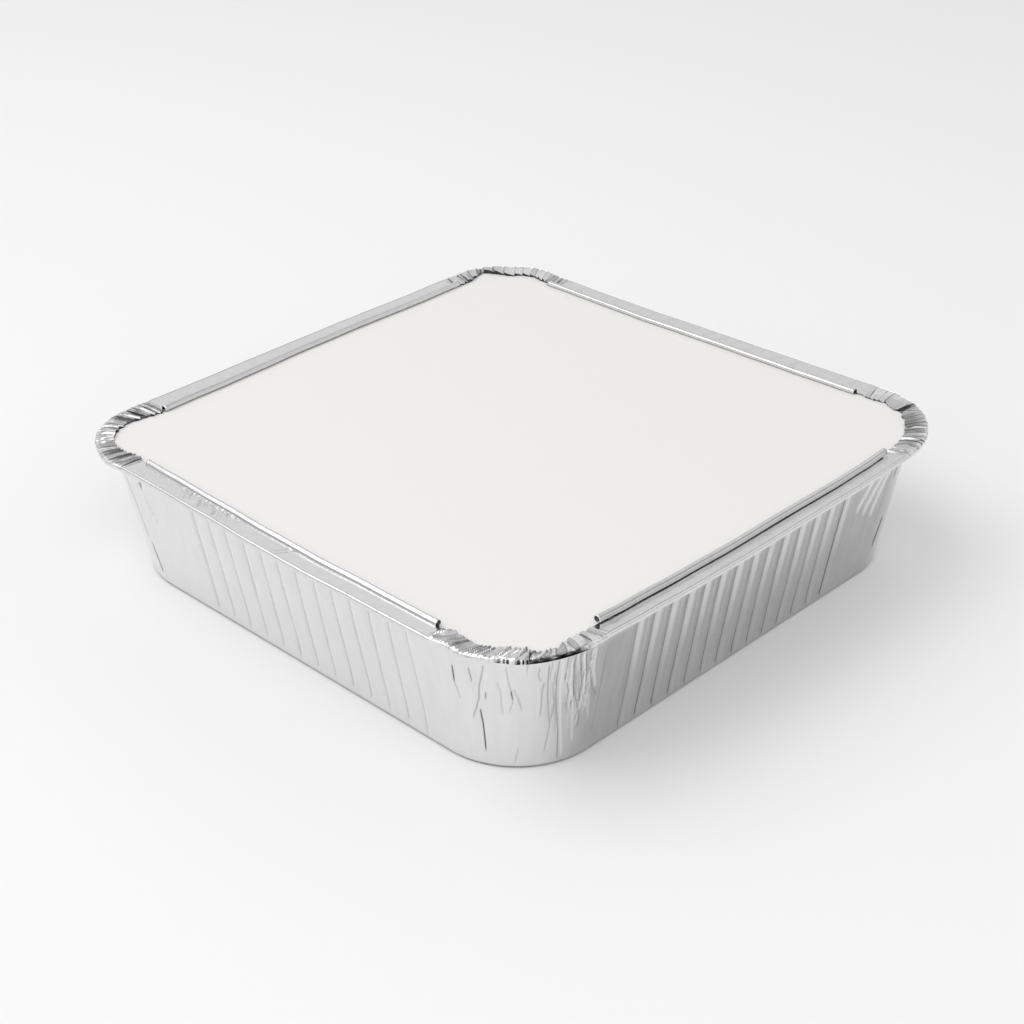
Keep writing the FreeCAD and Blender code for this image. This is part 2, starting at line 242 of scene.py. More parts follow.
dent_bump = node(foil, "ShaderNodeBump", Height=dents.outputs["Fac"], Strength=0.10, Distance=0.0010)
fine_bump = node(foil, "ShaderNodeBump", Height=fine.outputs["Fac"], Strength=0.03, Distance=0.0001)
foil.node_tree.links.new(dent_bump.outputs["Normal"], fine_bump.inputs["Normal"])
connect(foil, fine_bump.outputs["Normal"], "Normal")
print("foil has", len(foil.node_tree.nodes), "nodes")

# %% [markdown]
# ## Board
# The lid is uncoated white board: matt, a touch warm, with a faint cloudiness from its
# fibres. It needs no new mesh, because a flat board is already right in the solid model.

# %% Make the board material
board = new_material("white_board", (0.845, 0.838, 0.826), 0.0, 0.85)
board_place = node(board, "ShaderNodeTexCoord").outputs["Object"]
clouds = node(board, "ShaderNodeTexNoise", Vector=board_place, Scale=45.0, Detail=4.0)
fibres = node(board, "ShaderNodeTexNoise", Vector=board_place, Scale=1400.0, Detail=3.0)
connect(board, ramp(board, clouds.outputs["Fac"], 0.80, 0.90), "Roughness")
fibre_bump = node(board, "ShaderNodeBump", Height=fibres.outputs["Fac"], Strength=0.1, Distance=0.0001)
connect(board, fibre_bump.outputs["Normal"], "Normal")
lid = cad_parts["lid_board"]
lid.data.materials.clear()
lid.data.materials.append(board)
print("lid board has", len(lid.data.polygons), "faces")

# %% [markdown]
# ## Sizes of the foil
# These are the tray's own sizes, in millimetres. The walls lean out, so both the half
# width and the corner radius grow with height about a fixed corner centre. The four
# sides are alike but for their details, so each side and the corner after it are drawn
# facing +X and then turned to their place.

# %% Note the tray's sizes
BASE_HALF, BASE_CORNER, BEND = 102.9, 30.2, 1.2
WALL_LEAN = np.radians(10.6)
SLOPE = np.tan(WALL_LEAN)
LEDGE_Z, FOIL = 49.4, 0.1
# The rim's half width and corner radius, and where along a side its corner starts.
RIM_HALF, RIM_CORNER, TURN = 115.0, 32.7, 76.0
WALL_CENTRE = BASE_HALF - BASE_CORNER
# How long a wall's corner counts as, on the flattened wall.
ARC = 62.0
SIDES = ("right", "back", "left", "front")
print("corner centre", WALL_CENTRE, "wall top half width", round(BASE_HALF + LEDGE_Z * SLOPE, 2))

# %% [markdown]
# ## Helpers for a sheet of points
# A foil sheet is drawn as a grid of points, so the helpers work on a whole row at once.
# One turns points to their side of the tray, three give soft steps and lines, and one
# makes shallow waves from a seed, which come out the same each time.

# %% Write the helpers for a sheet
# Radians in one wave, near enough.
CYCLE = 6.28


def about_z(points, quarter):
    """Turn points about Z by a number of quarter turns."""
    c, s = ((1, 0), (0, 1), (-1, 0), (0, -1))[quarter]
    x, y = points[..., 0].copy(), points[..., 1].copy()
    turned = points.copy()
    turned[..., 0] = c * x - s * y
    turned[..., 1] = s * x + c * y
    return turned


def table(rows, at):
    """Read a value between the rows of a small table, with rounded steps."""
    xs, ys = np.array(rows, float).T
    at = np.clip(at, xs[0], xs[-1])
    k = np.clip(np.searchsorted(xs, at) - 1, 0, len(xs) - 2)
    f = (at - xs[k]) / (xs[k + 1] - xs[k])
    f = f * f * (3 - 2 * f)
    return ys[k] + (ys[k + 1] - ys[k]) * f


def smooth(low, high, at):
    """0 below the low value, 1 above the high one, and a soft step between."""
    f = np.clip((at - low) / (high - low), 0, 1)
    return f * f * (3 - 2 * f)


def band(at, middle, width):
    """1 at the middle, fading softly to 0 on both sides of it."""
    return np.exp(-(((at - middle) / width) ** 2))


def waves(seed, across, along, span_across, span_along, count):
    """Shallow random waves over a sheet, between about -1 and 1."""
    rng = np.random.default_rng(seed)
    total = 0
    for _ in range(count):
        a, b = rng.uniform(-1, 1, 2)
        start = rng.uniform(0, 2 * np.pi)
        total = total + np.sin(across * a * CYCLE / span_across + along * b * CYCLE / span_along + start)
    return total / np.sqrt(count)


print("a soft step at 0, 0.5 and 1:", smooth(0, 1, np.array([0, 0.5, 1])))

# %% [markdown]
# ## From points to a foil sheet
# A grid could also be pushed into shape with modifiers, but each fold would need its
# own. Here every row of points is joined to the next one, and the shade goes into an
# attribute that the foil's material reads. Only the beads need a visible thickness,
# because only their cut ends are seen.

# %% Write the sheet maker


def add_sheet(name, points, shade, closed, sharp=None, thickness=0.0):
    """Make a mesh from rows and columns of points given in millimetres."""
    rows, columns = points.shape[:2]
    index = np.arange(rows * columns).reshape(rows, columns)
    ahead = np.roll(index, -1, axis=1)
    last = columns if closed else columns - 1
    faces = np.stack([index[:-1], ahead[:-1], ahead[1:], index[1:]], -1)[:, :last]
    mesh = bpy.data.meshes.new(name)
    mesh.from_pydata((points.reshape(-1, 3) * MM).tolist(), [], faces.reshape(-1, 4).tolist())
    mesh.shade_smooth()
    if sharp:
        mesh.set_sharp_from_angle(angle=np.radians(sharp))
    mesh.attributes.new("shade", "FLOAT", "POINT")
    level = np.where(shade > 0, PLAIN_AT + (1 - PLAIN_AT) * shade, PLAIN_AT * (1 + shade))
    mesh.attributes["shade"].data.foreach_set("value", np.clip(level, 0, 1).astype(np.float32).ravel())
    mesh.materials.append(foil)
    sheet = bpy.data.objects.new(name, mesh)
    bpy.context.scene.collection.objects.link(sheet)
    if thickness:
        layer = sheet.modifiers.new("thickness", "SOLIDIFY")
        layer.thickness = thickness * MM
        layer.offset = 0.0
    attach(sheet, "root")
    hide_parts("foil_tray")
    print(name, "has", len(mesh.polygons), "faces")


print("ready to make sheets of", foil.name)

# %% [markdown]
# ## Flutes
# The press folds the walls into shallow flutes so that they stay stiff. Each one is a
# softly rounded panel between two sharp valleys, deepest under the ledge and fading to
# nothing above the base. Both could be sculpted, but a formula keeps the valleys crisp
# and in step, and the mesh only needs close columns where a valley is.

# %% Place the flutes
# For each wall: how many valleys, from one to the next, and where the first one is.
FLUTES = {"right": (14, 8.24, -58.9), "front": (13, 8.87, -44.1)}
FLUTES["left"], FLUTES["back"] = FLUTES["right"], FLUTES["front"]
# Columns beside a valley, and between two valleys as shares of the way.
NEAR_VALLEY = np.array([-1.0, -0.5, -0.34, -0.2, -0.1, 0, 0.1, 0.2, 0.35, 0.6, 0.9, 1.2, 1.7, 2.3, 2.8])
BETWEEN_VALLEYS = np.linspace(0.42, 0.78, 5)
PLAIN_STEP = 0.9


def flute_columns(side):
    """Where the wall's mesh needs columns along one side, fewer on the walls behind."""
    count, pitch, first = FLUTES[side]
    valleys = first + pitch * np.arange(count)
    near = NEAR_VALLEY[1::2] if side in ("back", "left") else NEAR_VALLEY
    close = (valleys[:, None] + near).ravel()
    between = (valleys[:-1, None] + pitch * BETWEEN_VALLEYS).ravel()
    low_end = np.arange(-WALL_CENTRE, first - 2, PLAIN_STEP)
    high_end = np.arange(valleys[-1] + 3.4, WALL_CENTRE, PLAIN_STEP)
    return np.unique(np.round(np.concatenate([close, between, low_end, high_end]), 3))


print("columns along each wall:", {side: len(flute_columns(side)) for side in SIDES})

# %% [markdown]
# ## Form of a flute
# A valley drops steeply on one side and rises gently on the other. Light and shade are
# also painted along the flutes: painted shade in the valley, a painted highlight on the
# shoulder after it, a weaker second one on the panel, and painted shade before the next
# valley. Painting them by hand would be slow to change, so they are soft bands that are
# measured from the valley.

# %% Shape the flutes
PANEL_SWELL, VALLEY_DEPTH, DART_DEPTH, STEEP, GENTLE = 0.30, 0.62, 0.1, 0.5, 2.2
# Painted lines along a valley: how far from it, and how wide.
DART, SHOULDER_HIGHLIGHT, SECOND, BEFORE_VALLEY_SHADE = (1.0, 0.3), (1.8, 1.05), (5.2, 0.6), (1.4, 1.1)
# Width of the painted shade line in a valley.
VALLEY_LINE_WIDTH = 0.36
# How strongly the painted lines show on each wall.
FLUTE_SHADE_STRENGTH = {"right": 1.0, "left": 1.0, "front": 0.42, "back": 0.42}


def flute_form(side, w, z):
    """How far the fluted wall stands out at a place along it, and how shaded it is."""
    count, pitch, first = FLUTES[side]
    strength = smooth(1.2, 5, z) * (0.5 + 0.5 * z / LEDGE_Z)
    f = (w - first) / pitch
    after = (w - first) % pitch
    before = pitch - after
    inside = (f > 0) & (f < count - 1)
    in_row = (f > -0.4) & (f < count - 0.4)
    panel = np.where(inside, -PANEL_SWELL * (2 * after / pitch - 1.1) ** 2, 0.0)
    rise = np.clip(after / GENTLE, 0, 1)
    drop = np.clip(before / STEEP, 0, 1)
    valley = np.where(in_row, 1 - np.minimum(rise * (2 - rise), drop), 0.0)
    dart = np.where(in_row, smooth(38, 47, z) * band(after, *DART), 0.0)
    out = strength * (panel - VALLEY_DEPTH * valley - DART_DEPTH * dart)

    # Painted shade in the valley and the dart, painted highlights on the shoulder and the panel, and painted
    # shade before the next valley.
    line = np.where(in_row, band(np.minimum(after, before), 0, VALLEY_LINE_WIDTH), 0.0)
    shoulder_highlight = np.where(in_row & (f > -0.05), band(after, *SHOULDER_HIGHLIGHT), 0.0)
    second = np.where(inside, band(after, *SECOND), 0.0)
    painted_shade = np.where(in_row, band(before, *BEFORE_VALLEY_SHADE), 0.0)
    high = smooth(14, 47, z)
    flute_shade = 0.62 * line + 0.2 * dart - (0.08 + 0.42 * high) * shoulder_highlight - 0.2 * high * second + 0.09 * painted_shade
    return out, smooth(0.6, 4, z) * FLUTE_SHADE_STRENGTH[side] * flute_shade


print("flutes:", {side: FLUTES[side][0] for side in SIDES})

# %% [markdown]
# ## Creases
# At the corners the foil has too much material, and the press leaves it in long thin
# creases. Each is listed as a line on the flattened wall: how far along the side and
# round the corner, and how high. Its depth and width follow. Sculpting them would work
# too, but a list can be checked against the real thing one crease at a time.

# %% List the creases
# Each line: the quarter it is in, depth, width, how shaded, and its points. The shade is painted: painted
# shade in the grooves, and below zero a painted highlight on the ridges.
CREASES = [
    ("front", 0.30, 0.20, 1.4, [(81.7, 40), (81.6, 34)]),
    ("front", 0.12, 0.23, 0.3, [(81.6, 34), (82.8, 27.6)]),
    ("front", 0.25, 0.20, 0.7, [(87.6, 40.4), (88.1, 36)]),
    ("front", 0.22, 0.20, 0.55, [(92.6, 42.6), (91.8, 38.8), (90.6, 34.4), (90, 29)]),
    ("front", 0.22, 0.20, 0.55, [(90, 29), (88.6, 24.6), (87, 20.6)]),
    ("front", 0.20, 0.20, 0.8, [(92.6, 31.4), (92.4, 29.2)]),
    ("front", 0.35, 0.22, 1.4, [(90, 23.4), (90.4, 17.8), (90.4, 11.6), (90.4, 7.4)]),
    ("front", 0.14, 0.20, 0.35, [(99.8, 42.6), (100.4, 37.4), (101.2, 32.8)]),
    ("front", 0.30, 0.20, 1.4, [(101.2, 32.5), (101.6, 30)]),
    ("front", 0.10, 0.20, 0.3, [(101.6, 28.6), (100.4, 25)]),
    ("front", 0.16, 0.20, 0.5, [(110.2, 42.2), (109.8, 39.4), (110.6, 37.4)]),
    ("front", 0.26, 0.21, 0.45, [(113.4, 42.4), (113.2, 37), (113.4, 30), (114.2, 21.6)]),
    ("front", 0.26, 0.21, 0.45, [(114.2, 21.6), (114.8, 17.8), (114.2, 12.4), (113.2, 6.4)]),
    ("front", 0.34, 0.24, 0.45, [(116.6, 44), (116.2, 36.4), (116.4, 29.4), (117.2, 22), (118.4, 14.4)]),
    ("front", 0.34, 0.24, 0.45, [(118.4, 14.4), (119.2, 2.6)]),
    ("front", -0.22, 0.33, -0.6, [(118.0, 43), (117.6, 34), (118.4, 24), (120.6, 4)]),
    ("front", 0.30, 0.26, 0.35, [(119.6, 44), (119.2, 35.6), (121.4, 29)]),
    ("front", 0.34, 0.28, 0.35, [(122.2, 44), (122.4, 36.8), (122.8, 31), (124.8, 24.4)]),
    ("front", 0.34, 0.28, 0.35, [(124.8, 24.4), (126.8, 17.6), (127, 14)]),
    ("front", -0.25, 0.33, -0.6, [(121.0, 42), (121.4, 34), (123, 25), (124.8, 9)]),
    ("front", 0.32, 0.28, 0.3, [(124, 44), (125.4, 35.8), (125.8, 29.8), (126.2, 23.8)]),
    ("front", -0.25, 0.30, -0.6, [(125.2, 44), (126.5, 36), (127, 28)]),
    ("front", 0.32, 0.30, 0.3, [(126, 44), (127.2, 37.2), (127.8, 30.2), (127.8, 23.2)]),
    ("front", 0.30, 0.30, 0.25, [(128.4, 46), (128.4, 36.8), (130.6, 28.4), (133, 24.4)]),
    ("front", -0.20, 0.33, -0.6, [(129.6, 44), (129.8, 36), (131.6, 29)]),
    ("front", 0.14, 0.23, 0.3, [(103.2, 8.6), (102, 3)]),
    ("front", 0.30, 0.20, 1.4, [(-71.8, 45.8), (-71.4, 42), (-71.2, 38.8)]),
    ("front", 0.12, 0.26, 0.25, [(-71.2, 38.8), (-69.2, 33.8), (-68, 30)]),
    ("left", 0.30, 0.37, 1.4, [(129, 16.2), (130.2, 9.8), (130.8, 6)]),
    ("left", 0.20, 0.40, 0.35, [(124, 46), (125.5, 34), (127.5, 20)]),
    ("right", 0.34, 0.75, 1.8, [(81.4, 20.5), (80.6, 16), (79.6, 12)]),
    ("right", 0.22, 0.37, 0.7, [(79, 45), (78.6, 41)]),
    ("right", -0.35, 0.92, -0.6, [(70.0, 46), (66.4, 39), (63.4, 33)]),
    ("right", -0.30, 0.80, -0.6, [(73.5, 46), (70.6, 38), (68.4, 30)]),
    ("right", -0.28, 0.92, -0.6, [(64.5, 46), (61, 40), (58.5, 36)]),
    ("right", 0.20, 0.57, 0.1, [(75.5, 44), (74.4, 32), (73.5, 24)]),
]
print(len(CREASES), "long creases")

# %% [markdown]
# ## Fine wrinkles and the form of a crease
# Between the long creases the foil is full of short ones that no eye can follow one by
# one. A seeded draw gives them the right length, spacing and lean. All creases then
# share one form: a soft groove or ridge about a line, with the deepest one winning
# where two cross.

# %% Shape the creases


def fine_wrinkles(seed, count, low, high):
    """Short random creases that hang from the ledge, grooves with painted shade and ridges with a painted
    highlight.
    """
    rng = np.random.default_rng(seed)
    found = []
    for _ in range(count):
        p, z = rng.uniform(low, high), rng.uniform(24, 47)
        points = [(p, z)]
        for _ in range(rng.integers(2, 4)):
            p, z = p + rng.uniform(-0.7, 1.3), z - rng.uniform(2, 5)
            points.append((p, z))
        sign = rng.choice([-1, 1])
        found.append(("front", sign * rng.uniform(0.08, 0.2), 0.26, sign * rng.uniform(0.1, 0.42), points))
    return found


def crease_form(quarter, p, z):
    """The depth and the shade that the creases of one quarter give."""
    out, dark = np.zeros_like(z), np.zeros_like(z)
    for side, depth, width, tone, points in CREASES:
        if side != quarter:
            continue
        for (p0, z0), (p1, z1) in zip(points, points[1:]):
            run = np.array([p1 - p0, z1 - z0])
            f = np.clip(((p - p0) * run[0] + (z - z0) * run[1]) / (run @ run), 0, 1)
            mark = band(np.hypot(p - p0 - f * run[0], (z - z0 - f * run[1]) * 0.5), 0, width)
            out = np.where(np.abs(depth * mark) > np.abs(out), -depth * mark, out)
            dark = np.where(np.abs(tone * mark) > np.abs(dark), tone * mark, dark)
    return out, dark


CREASES += fine_wrinkles(3, 44, 114, 130) + fine_wrinkles(4, 5, 92, 113)
print(len(CREASES), "creases with the fine ones")

# %% [markdown]
# ## Rim outline
# The rim was folded over by a hand tool, so it bows a little along each side, and the
# lip is wider in some places than in others. A lattice could bend an even rim, but two
# small tables for each side and corner are easier to correct. They hold how far the rim
# stands out from the even outline, and how wide its lip is. Sides are measured along
# the wall, and corners by angle.

# %% Note how the rim wanders
RIM_OUT = {
    "right": [(-76, 0), (-59, 0.65), (-36, 1.4), (-12, 1.8), (15, 1.5), (42, 1.5), (60, 1.1), (76, 0.6)],
    "right_corner": [(0, 0.6), (20, -0.6), (36, -0.8), (53, 0), (62, 0.6), (75, 1.2), (90, 1.2)],
    "back": [(-76, 1.2), (-64, 0.6), (-41, -0.1), (-18, -0.8), (7, -1.4), (32, -2.3), (59, -2.5), (76, -2.2)],
    "back_corner": [
        (0, -2.2), (9, -2.2), (15, -0.8), (29, 0.6), (42, 0.6), (51, 1.6), (63, 2.2), (81, 1), (90, 1),
    ],
    "left": [(-76, 1), (-52, 0.35), (-25, 0.5), (2, 0), (28, -0.5), (52, -1.3), (76, -1.5)],
    "left_corner": [
        (0, -1.5), (13, -1.3), (29, -0.4), (39, -0.3), (48, 0), (61, -0.4), (76, 0.2), (90, -0.5),
    ],
    "front": [(-76, -0.5), (-61, -0.4), (-32, 0.3), (-5, 1.2), (20, 1.5), (43, 0.9), (66, 0.8), (76, 0.6)],
    "front_corner": [(0, 0.6), (10, -0.5), (21, 0.2), (36, -0.6), (46, 0), (62, -0.3), (81, 0), (90, 0)],
}
LIP_WIDTH = {
    "right": [(-76, 8.0), (-60, 7.8), (60, 7.5), (76, 7.8)],
    "right_corner": [(0, 7.8), (18, 8.0), (37, 8.2), (57, 8.0), (69, 9.0), (90, 9.5)],
    "back": [(-76, 9.5), (-60, 9.3), (0, 8.9), (60, 8.2), (76, 8.4)],
    "back_corner": [
        (0, 8.4), (16, 9.0), (32, 8.2), (44, 8.6), (55, 6.5), (61, 5.0), (68, 7.5), (75, 9.4), (90, 8.2),
    ],
    "left": [(-76, 8.2), (-17, 8.4), (9, 8.5), (35, 9.4), (60, 9.8), (76, 10.3)],
    "left_corner": [
        (0, 10.3), (7, 10.8), (22, 9.8), (29, 7.8), (44, 6.8), (55, 6.3), (67, 7.8), (78, 10.2), (90, 8.6),
    ],
    "front": [(-76, 8.6), (-60, 8.2), (0, 8.2), (60, 7.9), (76, 7.9)],
    "front_corner": [
        (0, 7.9), (14, 7.4), (24, 6.8), (34, 6.6), (39, 7.6), (47, 7.8), (55, 4.6), (63, 5.0), (73, 7.2),
        (90, 8.0),
    ],
}
print("the rim stands out by up to", max(out for rows in RIM_OUT.values() for _, out in rows), "mm")

# %% [markdown]
# ## Points of the rim
# Everything on the rim is placed by how far in from its outer edge it is. Along a side
# that is one subtraction. Round a corner it is measured toward the corner's turning
# point, so that the pleats fan out as they do in the real foil.

# %% Place a point of the rim


def rim_radius(angle):
    """The even rim outline's distance from the corner's turning point, by angle."""
    lead = RIM_HALF - RIM_CORNER - TURN
    c, s = np.cos(angle), np.sin(angle)
    along = lead * (c + s)
    arc = along + np.sqrt(np.maximum(along**2 - 2 * lead**2 + RIM_CORNER**2, 0))
    flat_x = (RIM_HALF - TURN) / np.maximum(c, 1e-6)
    flat_y = (RIM_HALF - TURN) / np.maximum(s, 1e-6)
    return np.where(flat_x * s < lead, flat_x, np.where(flat_y * c < lead, flat_y, arc))


def rim_point(quarter, across, is_corner, reach, height):
    """A point of the rim, given how far in from its outer edge it is."""
    side = SIDES[quarter]
    if is_corner:
        angle = np.radians(across)
        r = rim_radius(angle) + table(RIM_OUT[side + "_corner"], across) - reach
        flat = np.stack([TURN + r * np.cos(angle), TURN + r * np.sin(angle), height], -1)
    else:
        x = RIM_HALF + table(RIM_OUT[side], across) - reach
        flat = np.stack([x, across + 0 * reach, height], -1)
    return about_z(flat, quarter)


print("rim radius at 0, 45, 90:", rim_radius(np.radians([0, 45, 90])).round(2))

# %% [markdown]
# ## Walls, base and ledge
# One sheet makes the base, the bend, the four walls and the ledge, as in the real
# tray. Its columns run round the tray and its rows run from the middle of the base up
# the wall. Columns are close at the valleys and at the corner that faces the camera.
# The right and left walls get painted shade and the front and back ones painted light,
# and the bend at the foot of the walls gets painted shade, where the tray meets the floor.

# %% Set the rows and the tones of the walls
BASE_SHARES = (0.0, 0.5, 0.9)
BEND_ANGLES = np.radians([-90, -68, -46, -24])
# Painted shade of the base rows, and of the bend at the foot of the walls, where the tray meets the floor.
BASE_AND_BEND_SHADE = (0, 0, 0, 0.75, 0.75, 0.55, 0.3)
LOW_ROWS, MIDDLE_ROWS, TOP_ROWS = [1.0, 1.8, 2.8], np.arange(4.3, 21, 1.6), [48.7, 49.1]
WALL_ROWS = np.concatenate([LOW_ROWS, MIDDLE_ROWS, np.arange(21.6, 48.5, 1.0), TOP_ROWS])
LEDGE_INSETS = (1.2, 0.1)
FLAT_HALF_WIDTH = BASE_HALF - BEND * np.tan((np.pi / 2 - WALL_LEAN) / 2)
CORNER_STEP = {"front": 0.22, "right": 0.4, "back": 0.4, "left": 0.4}
# Painted shade of each wall's plain foil; below zero it is painted light.
WALL_PAINTED_SHADE = {"right": 0.29, "back": -0.2, "left": 0.29, "front": -0.2}


def painted_wall_shade(quarter, q, z):
    """Painted shade of the plain foil along a wall and round the corner after it; below zero it is painted
    light.
    """
    here, ahead = WALL_PAINTED_SHADE[SIDES[quarter]], WALL_PAINTED_SHADE[SIDES[(quarter + 1) % 4]]
    turn = smooth(0.45, 1.0, q) if here < ahead else smooth(0.0, 0.55, q)
    tone = here + (ahead - here) * turn
    return np.where(tone > 0, tone * smooth(LEDGE_Z, 43, z), tone)


def corner_gathers(quarter, p, q):
    """Small upright ripples of the foil round a corner, before height is counted in."""
    wide, narrow = waves(200 + quarter, p, 0 * p, 3.4, 1, 7), waves(210 + quarter, p, 0 * p, 1.7, 1, 7)
    return (0.05 * wide + 0.03 * narrow) * smooth(0.0, 0.25, q) * smooth(1.0, 0.75, q)


print(len(WALL_ROWS), "rows up the wall")

# %% [markdown]
# ## One quarter of the tray
# A quarter is one wall and the corner after it. Each row is a ring at one height, moved
# in and out by the flutes, the creases and the soft waves. The last rows turn out over
# the ledge and meet the rim's wandering outline, so no gap opens between the two.

# %% Shape one quarter of the tray


def tray_quarter(quarter):
    """The points and shade of one wall and the corner after it."""
    side = SIDES[quarter]
    w = flute_columns(side)
    q = np.arange(0, ARC, CORNER_STEP[side]) / ARC
    p = np.concatenate([w, WALL_CENTRE + q * ARC])
    is_side = np.arange(len(p)) < len(w)
    round_corner = np.concatenate([np.zeros(len(w)), q])
    c, s = np.cos(round_corner * np.pi / 2), np.sin(round_corner * np.pi / 2)

    def ring(half_width, height, out=0.0):
        radius = half_width - WALL_CENTRE + out
        x = WALL_CENTRE + radius * c
        y = np.where(is_side, p, WALL_CENTRE + radius * s)
        return np.stack([x, y, np.full_like(p, height)], -1)

    rows = [ring(FLAT_HALF_WIDTH, 0.0) * [k, k, 1] for k in BASE_SHARES]
    rows += [ring(FLAT_HALF_WIDTH + BEND * np.cos(a), BEND + BEND * np.sin(a)) for a in BEND_ANGLES]
    shades = [np.full_like(p, tone) for tone in BASE_AND_BEND_SHADE]
    gathers = corner_gathers(quarter, p, round_corner)
    for z in WALL_ROWS:
        level = np.full_like(p, z)
        flute, flute_shade = flute_form(side, p, level)
        crease, dark = crease_form(side, p, level)
        soft = 0.20 * waves(quarter, p, level, 26, 60, 6) * smooth(2, 14, z) + gathers * smooth(4, 40, z)
        out = np.where(is_side, flute, 0) + (crease + soft) * smooth(49.2, 46.5, z)
        rows.append(ring(BASE_HALF + z * SLOPE, z, out))
        # Painted shade of the wall, of the flutes' lines and of the creases.
        tone = painted_wall_shade(quarter, round_corner, z) + np.where(is_side, flute_shade, 0)
        shades.append(np.where(np.abs(dark) > 0.02, np.maximum(tone, 0) * (1 - np.abs(dark)) + dark, tone))

    rows.append(ring(BASE_HALF + LEDGE_Z * SLOPE + FOIL, LEDGE_Z, np.where(is_side, flute, 0)))
    shades.append(shades[-1] * 0.5)
    along = np.clip(w, -TURN, TURN) * TURN / WALL_CENTRE
    for inset in LEDGE_INSETS:
        edge = rim_point(quarter, along, False, np.full_like(along, inset), np.full_like(along, LEDGE_Z))
        bend = rim_point(quarter, q * 90, True, np.full_like(q, inset), np.full_like(q, LEDGE_Z))
        rows.append(about_z(np.concatenate([edge, bend]), (4 - quarter) % 4))
        shades.append(np.zeros_like(p))
    return about_z(np.stack(rows), quarter), np.stack(shades)


quarters = [tray_quarter(k) for k in range(4)]
add_sheet(
    "pressed_tray",
    np.concatenate([points for points, _ in quarters], axis=1),
    np.concatenate([shade for _, shade in quarters], axis=1),
    closed=True,
)

# %% [markdown]
# ## Pleats
# Round a corner the lip has less room than foil, so it is gathered in pleats that lie
# over each other like shingles. Each pleat is one facet between two fold lines, tilted
# up toward one of them, with a sharp step and a dark line where the next one starts. A
# cloth simulation would gather soft cloth, not creased foil, so each corner draws its
# own widths, heights and slants from a seed. A few deep slits are listed.

# %% Note how each corner is pleated
# For each corner: seed, usual width at its start and end in degrees, lean of the folds
# there, how varied their shade is, how steep and how tall they are, and the width of
# the dark line along a fold.
# The dark line along each fold is painted shade, and each pleat's own tone runs from painted highlight to
# painted shade.
PLEATS = {
    "front": (11, (1.8, 3.7), (8, -1), 1.0, (0.62, 1.15), 0.28),
    "right": (7, (3.0, 3.2), (0, -5), 1.4, (0.5, 0.9), 0.42),
    "back": (29, (4.6, 5.4), (-3, 3), 0.8, (0.5, 0.9), 0.42),
    "left": (5, (3.0, 2.8), (1, -1), 1.2, (0.5, 0.9), 0.42),
}
# Each slit: angle, depth, width and slant.
SLITS = {
    "front": [(50, 0.3, 0.30, 0.2)],
    "right": [(37, 0.6, 0.22, 0.1), (57, 0.7, 0.28, 0.2), (22, 0.4, 0.25, 0.0)],
    "back": [(14, 0.9, 0.40, 0.2), (62, 1.0, 0.55, 0.1), (78, 0.7, 0.40, 0.0)],
    "left": [(38, 0.9, 0.30, 0.1), (43, 0.8, 0.30, 0.1), (53, 0.6, 0.25, -0.2)],
}
# Painted shade and painted highlight of alternate pleats past the front corner's middle.
STRIPES = (0.32, -0.7)


def pleat_lines(corner):
    """The fold lines of one corner, and what each pleat between two of them is like."""
    seed, (first, last), lean, contrast, (steep, tallest), _ = PLEATS[corner]
    rng = np.random.default_rng(seed)
    start = [-7.0]
    while start[-1] < 97:
        usual = first + (last - first) * smooth(25, 60, start[-1])
        start.append(start[-1] + usual * rng.uniform(0.6, 1.4))
    start = np.array(start)
    count, width = len(start), np.append(np.diff(start), last)
    slant = lean[0] + (lean[1] - lean[0]) * np.clip(start / 90, 0, 1) + rng.uniform(-0.6, 0.6, count)
    height = np.clip(steep * width * rng.uniform(0.3, 0.75, count), 0.25, tallest)
    up_to = rng.choice([-1, 1], count, p=[0.25, 0.75])
    crown = rng.uniform(0.0, 0.3, count)
    # Each pleat's painted tone, below zero a painted highlight, and the strength of the painted shade along
    # its fold line.
    painted_shade = contrast * rng.choice([-0.9, -0.35, 0.0, 0.08, 0.2], count)
    line = contrast * rng.uniform(0.3, 1.1, count)
    if corner == "front":
        # Near its middle this corner's folds lean more, and past it every other pleat
        # gets a painted highlight and the ones between painted shade. Its last ones lie
        # flatter, beside the right side's strip.
        slant = slant + 3 * smooth(15, 45, start) * smooth(62, 52, start)
        painted_shade = np.clip(painted_shade, -0.6, 0.05)
        painted_shade = painted_shade + (np.where(np.arange(count) % 2, *STRIPES) - painted_shade) * smooth(48, 56, start)
        height = height * (1 - 0.6 * smooth(74, 82, start))
        line = 0.7 * line
    return start, slant, height, up_to, crown, painted_shade, line


print("pleats in each corner:", {corner: len(pleat_lines(corner)[0]) for corner in PLEATS})

# %% [markdown]
# ## Form of a pleat
# One row across the lip crosses every pleat of a corner. Where it is between two fold
# lines gives how high the facet is there, and how near it is to a line gives the shade.
# The folds are lower at the outer edge, where they are pressed into the fold.

# %% Shape the pleats


